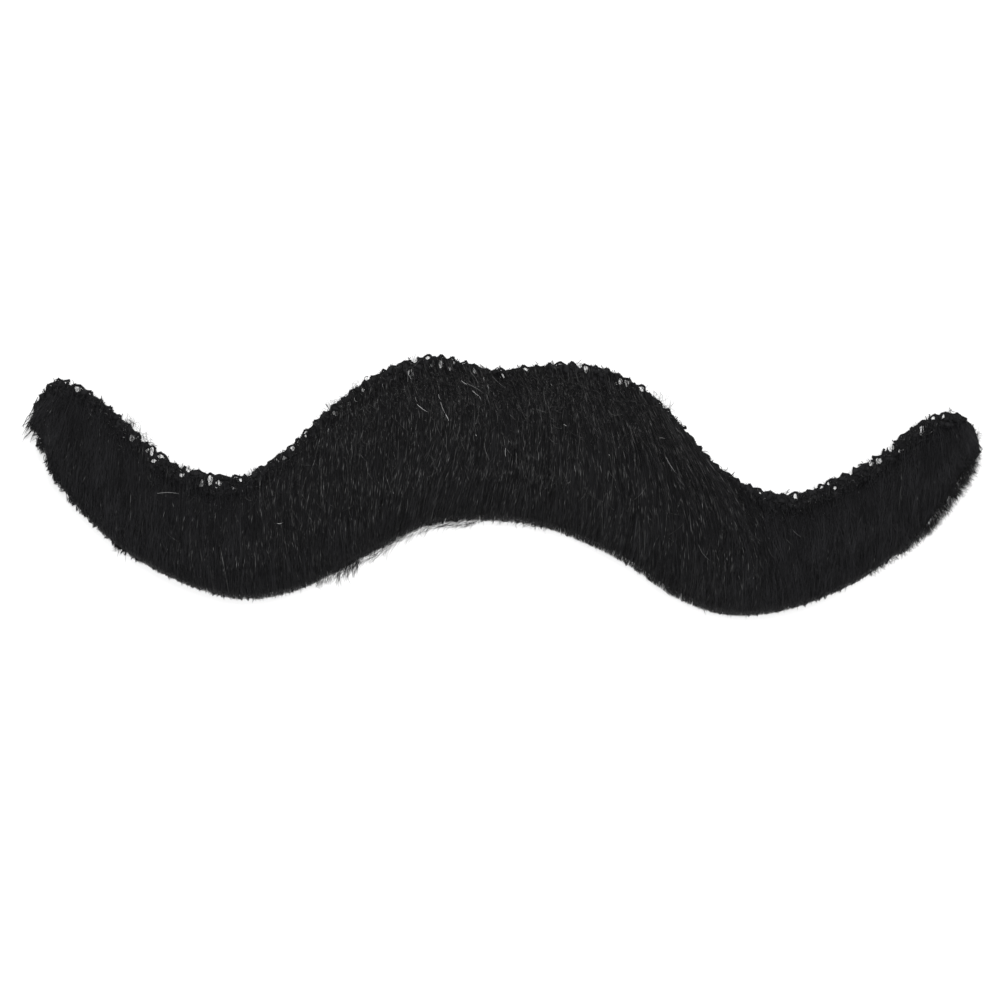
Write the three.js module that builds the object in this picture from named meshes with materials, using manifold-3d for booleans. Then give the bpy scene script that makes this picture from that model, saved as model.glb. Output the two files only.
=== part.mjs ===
// A black stick-on fake moustache, lying on its back as it lies on a table.
// A coarse knitted net is cut to the moustache's outline, and its upper margin is bare and shows open meshes.
// A combed pile of synthetic hair is rooted below that margin, covers the net in overlapping locks and hangs
// over its lower edge to the table. A plain adhesive strip behind the net sticks it to the upper lip.
// Millimetres. +X runs along the moustache, +Y up the face, +Z out of the face.
// The origin is the middle of the adhesive strip's sticking face.

import * as THREE from "three";
import { mergeVertices } from "three/addons/utils/BufferGeometryUtils.js";
import Module from "manifold-3d";

const wasm = await Module();
wasm.setup();

// Outline
const SPAN = 160;
const RISE = 42;

// Adhesive strip
const STRIP_LENGTH = 100;
const STRIP_WIDTH = 9;
const STRIP_THICKNESS = 0.6;

// Knitted net
const NET_THICKNESS = 1.0;
const NET_END_INSET = 2.5;
const NET_HEM_INSET = 2.4;
const MESH_PITCH = 2.05;
const MESH_ROWS = 2;
const MESH_ROW_STEP = 1.75;
const MESH_WIDTH = 1.35;
const MESH_HEIGHT = 1.2;
const EDGE_YARN = 0.6;
const KNOT_BULGE = 0.25;

// Hair pile
const BARE_MARGIN = 2.4;
const PILE_LOFT = 5.2;
const MAT_END_INSET = 1.2;
const LOCK_SPACING = 5.0;
const LOCK_WIDTH = 5.6;
const LOCK_CREST = 0.6;
const LOCK_ROOT_DEPTH = 1.5;
const LOCK_OVERHANG = 1.2;

// Clearances
const LAYER_GAP = 0.15;
const NET_CLEARANCE = 0.3;
const FOOT_LIFT = 0.15;

// Sections of the moustache from its left end to its right end.
// along is a share of half the span. top and foot are shares of the rise, up from the origin. bare is a share
// of the bare margin, loft of the pile's loft, and lean is a hair's drift to the right as a share of its fall.
const SECTIONS = [
  { along: -1.0, top: 0.04, foot: -0.04, bare: 0.0, loft: 0.3, lean: -0.5 },
  { along: -0.965, top: 0.145, foot: -0.085, bare: 0.5, loft: 0.45, lean: -0.35 },
  { along: -0.93, top: 0.2, foot: -0.21, bare: 1.0, loft: 0.62, lean: -0.2 },
  { along: -0.87, top: 0.155, foot: -0.34, bare: 0.8, loft: 0.72, lean: -0.08 },
  { along: -0.79, top: 0.06, foot: -0.46, bare: 1.6, loft: 0.8, lean: 0.0 },
  { along: -0.7, top: -0.085, foot: -0.555, bare: 1.7, loft: 0.85, lean: 0.0 },
  { along: -0.62, top: -0.148, foot: -0.61, bare: 1.6, loft: 0.88, lean: 0.03 },
  { along: -0.54, top: -0.145, foot: -0.645, bare: 1.3, loft: 0.92, lean: 0.05 },
  { along: -0.45, top: -0.03, foot: -0.615, bare: 1.1, loft: 0.96, lean: 0.05 },
  { along: -0.36, top: 0.14, foot: -0.55, bare: 1.1, loft: 1.0, lean: 0.05 },
  { along: -0.26, top: 0.28, foot: -0.44, bare: 1.2, loft: 1.0, lean: 0.1 },
  { along: -0.15, top: 0.35, foot: -0.33, bare: 1.0, loft: 1.0, lean: 0.22 },
  { along: -0.02, top: 0.305, foot: -0.3, bare: 0.5, loft: 1.0, lean: 0.22 },
  { along: 0.09, top: 0.34, foot: -0.32, bare: 0.6, loft: 1.0, lean: 0.14 },
  { along: 0.19, top: 0.34, foot: -0.375, bare: 1.2, loft: 1.0, lean: 0.2 },
  { along: 0.28, top: 0.26, foot: -0.465, bare: 0.9, loft: 1.0, lean: 0.3 },
  { along: 0.36, top: 0.13, foot: -0.565, bare: 0.5, loft: 0.98, lean: 0.3 },
  { along: 0.45, top: -0.045, foot: -0.625, bare: 0.6, loft: 0.95, lean: 0.22 },
  { along: 0.53, top: -0.13, foot: -0.64, bare: 1.1, loft: 0.92, lean: 0.14 },
  { along: 0.61, top: -0.147, foot: -0.61, bare: 1.3, loft: 0.88, lean: 0.08 },
  { along: 0.69, top: -0.085, foot: -0.55, bare: 1.3, loft: 0.85, lean: 0.04 },
  { along: 0.78, top: 0.015, foot: -0.455, bare: 1.3, loft: 0.8, lean: 0.0 },
  { along: 0.87, top: 0.16, foot: -0.32, bare: 1.2, loft: 0.72, lean: 0.0 },
  { along: 0.93, top: 0.2, foot: -0.21, bare: 0.8, loft: 0.62, lean: 0.1 },
  { along: 0.97, top: 0.165, foot: -0.1, bare: 0.4, loft: 0.45, lean: 0.25 },
  { along: 1.0, top: 0.05, foot: 0.0, bare: 0.0, loft: 0.3, lean: 0.4 },
];

// The pile's surface from its roots to the lower edge.
// down is a share of a hair's fall, loft a share of the pile's loft above the net, and droop a share of the
// drop from the net's face to the table.
const PILE_PROFILE = [
  { down: 0.0, loft: 0.14, droop: 0.0 },
  { down: 0.07, loft: 0.4, droop: 0.0 },
  { down: 0.22, loft: 0.74, droop: 0.0 },
  { down: 0.5, loft: 1.0, droop: 0.0 },
  { down: 0.74, loft: 0.96, droop: 0.0 },
  { down: 0.88, loft: 0.74, droop: 0.06 },
  { down: 0.96, loft: 0.42, droop: 0.35 },
  { down: 1.0, loft: 0.05, droop: 0.85 },
];

// One lock from its root to its tip. down is a share of the lock's length, width of the lock's width and
// crest of how far it stands out of the pile.
const LOCK_TAPER = [
  { down: 0.0, width: 0.4, crest: 0.1 },
  { down: 0.3, width: 0.95, crest: 0.9 },
  { down: 0.68, width: 1.0, crest: 1.0 },
  { down: 0.9, width: 0.8, crest: 0.75 },
  { down: 1.0, width: 0.1, crest: 0.15 },
];

// Two rows of locks. start and end are shares of a hair's fall, and shift is a share of the spacing.
const LOCK_ROWS = [
  { start: 0.36, end: 1.0, shift: 0.25, overhang: 1.0 },
  { start: 0.02, end: 0.62, shift: 0.75, overhang: 0.0 },
];

const HALF_SPAN = SPAN / 2;
const NET_BACK = STRIP_THICKNESS + LAYER_GAP;
const NET_FACE = NET_BACK + NET_THICKNESS;
const PILE_BACK = NET_FACE + LAYER_GAP;
const MAT_STATIONS = 48;
const NET_STATIONS = 60;

// Smooth curve through one column of a table, at a place given in the table's first column
function columnAt(table, key, column, place) {
  let i = 0;
  while (i < table.length - 2 && place > table[i + 1][key]) i += 1;
  const before = table[Math.max(i - 1, 0)];
  const from = table[i];
  const to = table[i + 1];
  const after = table[Math.min(i + 2, table.length - 1)];
  const gap = to[key] - from[key];
  const t = THREE.MathUtils.clamp((place - from[key]) / gap, 0, 1);
  const slopeFrom = (to[column] - before[column]) / (to[key] - before[key]);
  const slopeTo = (after[column] - from[column]) / (after[key] - from[key]);
  const rise = to[column] - from[column];
  const bendFrom = slopeFrom * gap - rise;
  const bendTo = rise - slopeTo * gap;
  return from[column] + t * rise + t * (1 - t) * ((1 - t) * bendFrom + t * bendTo);
}

function sectionAt(column, x) {
  return columnAt(SECTIONS, "along", column, x / HALF_SPAN);
}

const topAt = (x) => RISE * sectionAt("top", x);
const footAt = (x) => RISE * sectionAt("foot", x);
const bareAt = (x) => BARE_MARGIN * Math.max(sectionAt("bare", x), 0);
const middleAt = (x) => (topAt(x) + footAt(x)) / 2;

// Place of a hair that is rooted at x, a share down of the way along its fall
function hairAt(rootX, down) {
  const rootY = topAt(rootX) - bareAt(rootX);
  const fall = Math.max(rootY - footAt(rootX), 0);
  const edge = HALF_SPAN - MAT_END_INSET;
  const tipX = THREE.MathUtils.clamp(rootX + fall * sectionAt("lean", rootX), -edge, edge);
  const x = THREE.MathUtils.lerp(rootX, tipX, down);
  return { x, y: THREE.MathUtils.lerp(rootY, Math.min(footAt(tipX), rootY), down) };
}

// Height of the pile's surface at that place
function pileHeight(rootX, down) {
  const place = Math.min(down, 1);
  const loft = columnAt(PILE_PROFILE, "down", "loft", place) * sectionAt("loft", rootX);
  const droop = columnAt(PILE_PROFILE, "down", "droop", place);
  return PILE_BACK + PILE_LOFT * loft - (PILE_BACK - FOOT_LIFT) * Math.max(droop, 0);
}

// Closed skin over rings of the same number of points, with a flat fan on each end ring
function ringsToGeometry(rings) {
  const count = rings[0].length;
  const positions = [];
  const index = [];
  for (const ring of rings) {
    for (const point of ring) positions.push(point.x, point.y, point.z);
  }
  for (let i = 0; i < rings.length - 1; i += 1) {
    for (let j = 0; j < count; j += 1) {
      const a = i * count + j;
      const b = i * count + ((j + 1) % count);
      index.push(a, b + count, b);
      index.push(a, a + count, b + count);
    }
  }
  const last = (rings.length - 1) * count;
  for (let j = 1; j < count - 1; j += 1) {
    index.push(0, j, j + 1);
    index.push(last, last + j + 1, last + j);
  }
  const geometry = new THREE.BufferGeometry();
  geometry.setAttribute("position", new THREE.Float32BufferAttribute(positions, 3));
  geometry.setIndex(index);
  return geometry;
}

function toSolid(geometry) {
  const plain = geometry.clone();
  plain.deleteAttribute("normal");
  plain.deleteAttribute("uv");
  const merged = mergeVertices(plain);
  return new wasm.Manifold(new wasm.Mesh({
    numProp: 3,
    vertProperties: new Float32Array(merged.attributes.position.array),
    triVerts: new Uint32Array(merged.index.array),
  }));
}

function toGeometry(solid) {
  const mesh = solid.getMesh();
  const geometry = new THREE.BufferGeometry();
  geometry.setAttribute("position", new THREE.BufferAttribute(mesh.vertProperties, 3));
  geometry.setIndex(new THREE.BufferAttribute(mesh.triVerts, 1));
  geometry.computeVertexNormals();
  return geometry;
}

function slab(shape, bottom, top) {
  const geometry = new THREE.ExtrudeGeometry(shape, { depth: top - bottom, bevelEnabled: false });
  geometry.translate(0, 0, bottom);
  return geometry;
}

// Upper edge of the net as a curve measured along its own length
function upperEdge() {
  const reach = HALF_SPAN - NET_END_INSET;
  const points = [];
  for (let i = 0; i <= NET_STATIONS; i += 1) {
    const x = THREE.MathUtils.lerp(-reach, reach, i / NET_STATIONS);
    points.push(new THREE.Vector2(x, topAt(x)));
  }
  return new THREE.SplineCurve(points);
}

// Outline of the net with knots along the upper edge, grown on all sides
function netOutline(edge, grow, bulge) {
  const knots = Math.round(edge.getLength() / MESH_PITCH);
  const points = [];
  for (let i = 0; i <= 2 * knots; i += 1) {
    const point = edge.getPointAt(i / (2 * knots));
    const tangent = edge.getTangentAt(i / (2 * knots));
    const out = grow + (i % 2) * bulge;
    const side = THREE.MathUtils.lerp(-grow, grow, i / (2 * knots));
    points.push(new THREE.Vector2(point.x - tangent.y * out + side, point.y + tangent.x * out));
  }
  const reach = HALF_SPAN - NET_END_INSET + grow;
  const left = -reach;
  for (let i = NET_STATIONS; i >= 0; i -= 1) {
    const x = THREE.MathUtils.lerp(left, reach, i / NET_STATIONS);
    points.push(new THREE.Vector2(x, footAt(x) + NET_HEM_INSET - grow));
  }
  return new THREE.Shape(points);
}

// One open mesh of the net, a six-sided hole
function meshHole(centre, tangent) {
  const hole = new THREE.Path();
  const turn = Math.atan2(tangent.y, tangent.x);
  for (let i = 0; i < 6; i += 1) {
    const angle = (i * Math.PI) / 3;
    const offset = new THREE.Vector2(MESH_WIDTH * Math.cos(angle), MESH_HEIGHT * Math.sin(angle));
    offset.multiplyScalar(0.5).rotateAround(new THREE.Vector2(), turn).add(centre);
    if (i === 0) hole.moveTo(offset.x, offset.y);
    else hole.lineTo(offset.x, offset.y);
  }
  hole.closePath();
  return hole;
}

// A curve at a depth below the net's upper edge
function courseBelow(edge, depth) {
  const points = [];
  for (let i = 0; i <= NET_STATIONS; i += 1) {
    const point = edge.getPointAt(i / NET_STATIONS);
    const tangent = edge.getTangentAt(i / NET_STATIONS);
    points.push(new THREE.Vector2(point.x + tangent.y * depth, point.y - tangent.x * depth));
  }
  return new THREE.SplineCurve(points);
}

// The bare margin shows as many rows of open meshes as its depth leaves room for
function netBacking() {
  const edge = upperEdge();
  const shape = netOutline(edge, 0, KNOT_BULGE);
  for (let row = 0; row < MESH_ROWS; row += 1) {
    const depth = EDGE_YARN + MESH_HEIGHT / 2 + row * MESH_ROW_STEP;
    const course = courseBelow(edge, depth);
    const count = Math.round(course.getLength() / MESH_PITCH);
    for (let i = 1; i < count; i += 1) {
      const along = (i - row / 2) / count;
      const centre = course.getPointAt(along);
      if (bareAt(centre.x) < depth + MESH_HEIGHT / 4) continue;
      shape.holes.push(meshHole(centre, course.getTangentAt(along)));
    }
  }
  return slab(shape, NET_BACK, NET_FACE);
}

// Mat that the locks are fused to, the pile without its locks
function pileMat() {
  const reach = HALF_SPAN - MAT_END_INSET;
  const rings = [];
  for (let i = 0; i <= MAT_STATIONS; i += 1) {
    const rootX = THREE.MathUtils.lerp(-reach, reach, i / MAT_STATIONS);
    const ring = PILE_PROFILE.map((row) => {
      const { x, y } = hairAt(rootX, row.down);
      return new THREE.Vector3(x, y, pileHeight(rootX, row.down));
    });
    const foot = hairAt(rootX, 1);
    const root = hairAt(rootX, 0);
    ring.push(new THREE.Vector3(foot.x, foot.y, FOOT_LIFT));
    ring.push(new THREE.Vector3(root.x, root.y, FOOT_LIFT));
    rings.push(ring.reverse());
  }
  return toSolid(ringsToGeometry(rings));
}

// One lock, a tapered strip with a rounded back, sunk into the mat along the way the hair is combed
function lock(rootX, start, end, overhang) {
  const spine = LOCK_TAPER.map((row) => {
    const down = THREE.MathUtils.lerp(start, end, row.down);
    const { x, y } = hairAt(rootX, down);
    const past = overhang * row.down ** 3;
    return new THREE.Vector3(x + past * sectionAt("lean", rootX), y - past, pileHeight(rootX, down));
  });
  const rings = LOCK_TAPER.map((row, i) => {
    const ahead = spine[Math.min(i + 1, spine.length - 1)];
    const behind = spine[Math.max(i - 1, 0)];
    const along = ahead.clone().sub(behind).normalize();
    const side = new THREE.Vector3(-along.y, along.x, 0).normalize();
    const out = new THREE.Vector3().crossVectors(along, side);
    const half = (LOCK_WIDTH * row.width) / 2;
    const crest = LOCK_CREST * row.crest;
    const section = [
      [-half, -LOCK_ROOT_DEPTH],
      [-half * 0.6, crest * 0.6],
      [0, crest],
      [half * 0.6, crest * 0.6],
      [half, -LOCK_ROOT_DEPTH],
    ];
    return section.map(([across, up]) => {
      const point = spine[i].clone().addScaledVector(side, across).addScaledVector(out, up);
      point.z = Math.max(point.z, FOOT_LIFT);
      return point;
    });
  });
  return toSolid(ringsToGeometry(rings));
}

function furPile(netRoom) {
  const reach = HALF_SPAN - MAT_END_INSET - LOCK_SPACING / 2;
  const count = Math.round((2 * reach) / LOCK_SPACING);
  let pile = pileMat();
  for (const row of LOCK_ROWS) {
    for (let i = 0; i < count; i += 1) {
      const rootX = THREE.MathUtils.lerp(-reach, reach, (i + row.shift) / count);
      pile = pile.add(lock(rootX, row.start, row.end, row.overhang * LOCK_OVERHANG));
    }
  }
  return toGeometry(pile.subtract(netRoom));
}

// Strip that follows the middle of the moustache, with round ends
function adhesiveStrip() {
  const steps = 24;
  const half = STRIP_WIDTH / 2;
  const reach = STRIP_LENGTH / 2 - half;
  const points = [];
  for (let i = 0; i <= steps; i += 1) {
    const x = THREE.MathUtils.lerp(-reach, reach, i / steps);
    points.push(new THREE.Vector2(x, middleAt(x) - middleAt(0)));
  }
  const middle = new THREE.SplineCurve(points);
  const outline = [];
  const addSide = (sign) => {
    for (let i = 0; i <= steps; i += 1) {
      const at = sign > 0 ? i / steps : 1 - i / steps;
      const point = middle.getPoint(at);
      const tangent = middle.getTangent(at);
      const out = half * sign;
      outline.push(new THREE.Vector2(point.x - tangent.y * out, point.y + tangent.x * out));
    }
  };
  const addEnd = (at, sign) => {
    const point = middle.getPoint(at);
    const tangent = middle.getTangent(at);
    const turn = Math.atan2(tangent.y, tangent.x);
    for (let i = 1; i < 6; i += 1) {
      const angle = turn + (sign * Math.PI) / 2 - (i * Math.PI) / 6;
      outline.push(new THREE.Vector2(point.x + half * Math.cos(angle), point.y + half * Math.sin(angle)));
    }
  };
  addSide(1);
  addEnd(1, 1);
  addSide(-1);
  addEnd(0, -1);
  return slab(new THREE.Shape(outline), 0, STRIP_THICKNESS);
}

const netMaterial = new THREE.MeshStandardMaterial({ color: 0x131315, roughness: 0.9, metalness: 0 });
const hairMaterial = new THREE.MeshStandardMaterial({ color: 0x17181b, roughness: 0.5, metalness: 0 });
const stripMaterial = new THREE.MeshStandardMaterial({ color: 0xe8e4da, roughness: 0.45, metalness: 0 });

function part(name, geometry, material) {
  const mesh = new THREE.Mesh(geometry, material);
  mesh.name = name;
  return mesh;
}

const netRoom = toSolid(slab(netOutline(upperEdge(), NET_CLEARANCE, KNOT_BULGE), -NET_CLEARANCE, PILE_BACK));
const moustache = new THREE.Group();
moustache.add(part("adhesive_strip", adhesiveStrip(), stripMaterial));
moustache.add(part("net_backing", netBacking(), netMaterial));
moustache.add(part("fur_pile", furPile(netRoom), hairMaterial));

export default moustache;
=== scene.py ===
"""A black stick-on fake moustache on a pale table, seen from straight above.

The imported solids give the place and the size. The net is dressed as knitted yarn and the pile as combed
hair, strand by strand. Lengths below are in millimetres and become metres where a mesh is made.
"""

import math

import bpy
import numpy as np
from mathutils import Euler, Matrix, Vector


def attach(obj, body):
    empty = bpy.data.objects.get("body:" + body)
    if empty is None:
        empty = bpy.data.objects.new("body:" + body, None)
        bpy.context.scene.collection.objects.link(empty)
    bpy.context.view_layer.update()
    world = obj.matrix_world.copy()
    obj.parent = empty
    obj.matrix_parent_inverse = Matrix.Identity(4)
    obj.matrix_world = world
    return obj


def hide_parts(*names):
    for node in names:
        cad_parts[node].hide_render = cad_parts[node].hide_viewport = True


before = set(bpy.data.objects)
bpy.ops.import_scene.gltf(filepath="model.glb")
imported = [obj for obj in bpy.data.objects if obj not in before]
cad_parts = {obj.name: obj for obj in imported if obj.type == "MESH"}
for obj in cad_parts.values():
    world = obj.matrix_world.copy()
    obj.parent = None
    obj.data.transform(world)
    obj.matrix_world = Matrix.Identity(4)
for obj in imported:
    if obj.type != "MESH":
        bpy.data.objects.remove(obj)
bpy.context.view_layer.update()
MM = 0.001

# Outline
SPAN = 160
RISE = 42
HALF_SPAN = SPAN / 2

# Layers of the part, from the table up
STRIP_THICKNESS = 0.6
LAYER_GAP = 0.15
NET_THICKNESS = 1.0
NET_BACK = STRIP_THICKNESS + LAYER_GAP
NET_FACE = NET_BACK + NET_THICKNESS
PILE_BACK = NET_FACE + LAYER_GAP
FOOT_LIFT = 0.15

# Net
NET_END_INSET = 2.5
NET_HEM_INSET = 2.4
MESH_PITCH = 2.05
MESH_ROW_STEP = 1.75
MESH_ROWS = 20
BOLD_ROWS = 3
MESH_ZIGZAG = 0.24
EDGE_YARN = 0.6
YARN_RADII = (0.16, 0.27)
UNDER_YARN_RADIUS = 0.3
YARN_WOBBLE = (0.18, 0.18, 0.1)

# Pile
BARE_MARGIN = 2.4
PILE_LOFT = 5.2
LEFT_REACH = 77.3
RIGHT_REACH = 78.5
UPPER_HAIRS = 7700
UPPER_LENGTHS = (5, 14)
UPPER_RADII = (0.045, 0.072)
HEM_HAIRS = 5000
HEM_LENGTHS = (6, 16)
HEM_RADII = (0.055, 0.085)
LOCK_WIDTH = 1.9
LOCK_LEVELS = 5
LOWEST_HAIR = 0.12


def table(columns, rows):
    """A table as a dict of columns, by name."""
    return dict(zip(columns, np.array(rows, float).T))


# Sections from the left end to the right end, close to the part's and a little nearer the photographed
# outline: along is a share of half the span, top and foot of the rise, bare of the bare margin, loft of the
# pile's loft, and lean of a hair's fall.
SECTIONS = table(
    ("along", "top", "foot", "bare", "loft", "lean"),
    [
        (-1.0, 0.04, -0.04, 0.0, 0.3, -0.5),
        (-0.965, 0.145, -0.07, 0.5, 0.45, -0.35),
        (-0.93, 0.204, -0.193, 1.0, 0.62, -0.2),
        (-0.87, 0.163, -0.327, 0.8, 0.72, -0.08),
        (-0.79, 0.052, -0.46, 1.2, 0.8, 0.0),
        (-0.7, -0.094, -0.555, 1.4, 0.85, 0.0),
        (-0.62, -0.143, -0.615, 1.4, 0.88, 0.03),
        (-0.54, -0.15, -0.645, 1.3, 0.92, 0.05),
        (-0.45, -0.038, -0.624, 1.1, 0.96, 0.05),
        (-0.36, 0.135, -0.55, 1.1, 1.0, 0.04),
        (-0.26, 0.28, -0.44, 1.2, 1.0, 0.02),
        (-0.15, 0.35, -0.33, 1.0, 1.0, 0.0),
        (-0.02, 0.305, -0.3, 0.5, 1.0, 0.05),
        (0.09, 0.333, -0.32, 0.6, 1.0, 0.06),
        (0.19, 0.333, -0.384, 1.2, 1.0, 0.14),
        (0.28, 0.262, -0.469, 0.9, 1.0, 0.3),
        (0.36, 0.136, -0.569, 0.5, 0.98, 0.3),
        (0.45, -0.045, -0.632, 0.6, 0.95, 0.22),
        (0.53, -0.13, -0.64, 1.1, 0.92, 0.14),
        (0.61, -0.147, -0.61, 1.3, 0.88, 0.08),
        (0.69, -0.085, -0.55, 1.3, 0.85, 0.04),
        (0.78, 0.015, -0.455, 1.3, 0.8, 0.0),
        (0.87, 0.156, -0.326, 1.2, 0.72, 0.0),
        (0.93, 0.196, -0.206, 0.8, 0.62, 0.1),
        (0.97, 0.172, -0.09, 0.4, 0.45, 0.25),
        (1.0, 0.05, 0.0, 0.0, 0.3, 0.4),
    ],
)

# The pile's surface from the roots to the lower edge: down is a share of a hair's fall, loft of the pile's
# loft above the net, and droop of the drop from the net's face to the table.
PROFILE = table(
    ("down", "loft", "droop"),
    [
        (0.0, 0.14, 0.0),
        (0.07, 0.4, 0.0),
        (0.22, 0.74, 0.0),
        (0.5, 1.0, 0.0),
        (0.74, 0.96, 0.0),
        (0.88, 0.74, 0.06),
        (0.96, 0.42, 0.35),
        (1.0, 0.05, 0.85),
    ],
)

# Places where the net lies open, seen in the photograph: place along the part, how far straight below the
# upper edge, and half sizes.
OPENINGS = table(
    ("along", "depth", "wide", "tall"),
    [
        (-74.8, 2.6, 0.22, 0.25),
        (-73.3, 0.6, 0.25, 0.25),
        (-72.3, 0.5, 0.3, 0.25),
        (-71.2, 0.7, 0.45, 0.42),
        (-67.2, 1.6, 0.2, 0.45),
        (-63.1, 2.6, 0.35, 0.35),
        (-61.8, 1.9, 0.48, 0.52),
        (-60.7, 0.8, 0.4, 0.42),
        (-59.8, 0.1, 0.5, 0.4),
        (-59.3, 1.5, 0.3, 0.6),
        (-58.4, 0.8, 0.38, 0.75),
        (-58.1, 2.2, 0.35, 0.25),
        (-57.0, 0.4, 0.45, 0.4),
        (-53.4, 0.5, 0.42, 0.4),
        (-52.2, 0.2, 0.45, 0.42),
        (-53.3, 1.6, 0.4, 0.25),
        (-49.8, 2.1, 0.42, 0.58),
        (-48.5, 1.4, 0.45, 0.85),
        (-47.2, 1.7, 0.4, 0.55),
        (-44.7, 2.0, 0.22, 0.3),
        (-43.4, 0.8, 0.35, 0.3),
        (-42.2, 0.2, 0.42, 0.38),
        (-37.5, 0.9, 0.42, 0.35),
        (-36.4, 1.4, 0.3, 0.3),
        (-34.9, 1.0, 0.4, 0.4),
        (-34.2, 0.8, 0.2, 0.45),
        (-32.9, 1.0, 0.14, 0.26),
        (-28.1, 1.9, 0.42, 0.35),
        (-25.9, 2.2, 0.3, 0.3),
        (-23.6, 1.5, 0.25, 0.28),
        (-19.6, 0.3, 0.28, 0.28),
        (-15.7, 2.3, 0.32, 0.75),
        (-15.2, 0.3, 0.45, 0.48),
        (-13.0, 0.3, 0.35, 0.28),
        (-12.3, 1.8, 0.2, 0.32),
        (-10.8, 1.6, 0.28, 0.7),
        (-9.3, 2.2, 0.32, 0.5),
        (-9.8, 0.0, 0.3, 0.35),
        (-8.4, 0.6, 0.2, 0.32),
        (-7.2, 0.2, 0.42, 0.3),
        (-5.0, 0.9, 0.25, 0.6),
        (-0.4, 1.2, 0.3, 0.28),
        (3.4, 0.5, 0.32, 0.25),
        (12.4, 0.4, 0.5, 0.5),
        (13.6, 0.9, 0.38, 0.65),
        (18.6, 2.0, 0.42, 0.5),
        (19.4, 1.2, 0.32, 0.55),
        (20.3, 1.1, 0.35, 0.5),
        (19.6, 2.9, 0.4, 0.22),
        (23.0, 0.3, 0.4, 0.4),
        (26.6, 0.3, 0.42, 0.38),
        (30.6, 0.1, 0.35, 0.3),
        (43.2, 0.7, 0.2, 0.3),
        (47.8, 0.0, 0.5, 0.4),
        (49.2, 0.6, 0.32, 0.4),
        (53.4, 0.5, 0.2, 0.2),
        (54.5, 0.5, 0.3, 0.25),
        (55.7, 1.8, 0.22, 0.22),
        (58.1, 0.4, 0.35, 0.4),
        (61.6, 0.8, 0.42, 0.35),
        (62.9, 1.3, 0.42, 0.5),
        (63.2, 0.3, 0.25, 0.25),
        (64.8, 0.7, 0.52, 0.42),
        (66.5, 2.7, 0.48, 0.42),
        (69.9, 1.8, 0.35, 0.8),
        (71.6, 0.4, 0.28, 0.28),
        (73.2, 0.5, 0.3, 0.3),
    ],
)

# Fine loose hairs along the edges: their roots lie between two places along the part, and between two heights
# over the lower edge (edge 0) or the upper edge (edge 1). heading is in degrees, and curl in radians over the
# whole hair.
WISPS = table(
    ("from_x", "to_x", "edge", "from_up", "to_up", "count", "length", "heading", "spread", "curl", "radius"),
    [
        (-78.0, -76.6, 0, 4.0, 8.0, 46, 4.4, -122, 8, 0.3, 0.06),
        (-77.3, -75.8, 0, 2.0, 3.6, 20, 1.8, -112, 12, 0.4, 0.045),
        (-64.3, -62.3, 0, -0.2, 0.3, 26, 1.7, -70, 30, 1.5, 0.02),
        (-30.5, -26.5, 0, -0.4, 0.4, 70, 1.4, -106, 16, 0.6, 0.018),
        (-26.8, -23.2, 0, -0.5, 0.8, 105, 2.8, -110, 11, 0.5, 0.02),
        (-23.8, -17.0, 0, -0.9, 0.1, 85, 2.4, -138, 14, 0.6, 0.018),
        (-17.0, -10.0, 0, -0.7, 0.1, 80, 2.0, -150, 15, 0.6, 0.018),
        (-10.0, -3.5, 0, -0.8, 0.1, 95, 2.0, -166, 12, 0.5, 0.017),
        (-4.0, 8.0, 0, -0.1, 0.2, 70, 1.1, -150, 26, 1.0, 0.022),
        (-76.0, -30.0, 0, 0.0, 0.3, 160, 0.6, -105, 34, 0.9, 0.022),
        (62.0, 67.5, 0, 0.1, 1.0, 110, 1.0, -62, 24, 0.6, 0.024),
        (67.0, 72.8, 0, 0.2, 1.5, 300, 1.4, -56, 24, 0.6, 0.024),
        (71.6, 78.6, 0, 2.3, 4.4, 520, 2.3, -56, 18, 0.6, 0.026),
        (71.8, 78.8, 0, 0.9, 3.0, 220, 1.5, -54, 22, 0.6, 0.023),
        (71.0, 75.0, 0, 0.2, 1.8, 130, 1.3, -54, 22, 0.6, 0.023),
        (76.4, 78.6, 0, 1.2, 4.4, 130, 1.7, -40, 24, 0.6, 0.022),
        (77.9, 79.1, 0, 2.6, 6.6, 170, 1.3, -22, 30, 0.6, 0.023),
        (-30.0, -23.5, 1, -0.6, 0.2, 40, 1.4, 60, 60, 2.5, 0.02),
        (-63.6, -58.8, 1, -0.4, 0.3, 40, 2.2, 40, 45, 2.4, 0.018),
        (24.8, 27.8, 1, -0.4, 0.3, 26, 2.0, 40, 45, 2.4, 0.018),
        (-77.0, 78.0, 1, -0.8, -0.2, 240, 0.9, 80, 55, 2.0, 0.02),
    ],
)

# Short pointed tufts that make the lower edge ragged, placed like the wisps.
TUFTS = table(
    ("from_x", "to_x", "from_up", "to_up", "count", "length", "heading", "spread"),
    [
        (-78.2, -77.2, 1.6, 7.0, 14, 0.6, -160, 25),
        (-77.4, -74.0, 0.2, 0.8, 26, 0.7, -120, 16),
        (-75.5, -60.0, 0.0, 0.5, 76, 0.65, -122, 20),
        (-60.0, -46.0, 0.0, 0.3, 40, 0.35, -112, 20),
        (-46.0, -30.0, -0.1, 0.2, 16, 0.25, -95, 18),
        (-12.0, 50.0, 0.0, 0.2, 62, 0.28, -92, 24),
        (50.0, 64.0, 0.0, 0.4, 34, 0.45, -72, 20),
        (64.0, 72.0, 0.3, 1.2, 36, 0.6, -60, 20),
        (72.0, 78.4, 2.4, 3.3, 20, 1.7, -54, 18),
        (77.6, 78.3, 2.5, 6.5, 9, 0.8, -24, 30),
    ],
)

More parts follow.
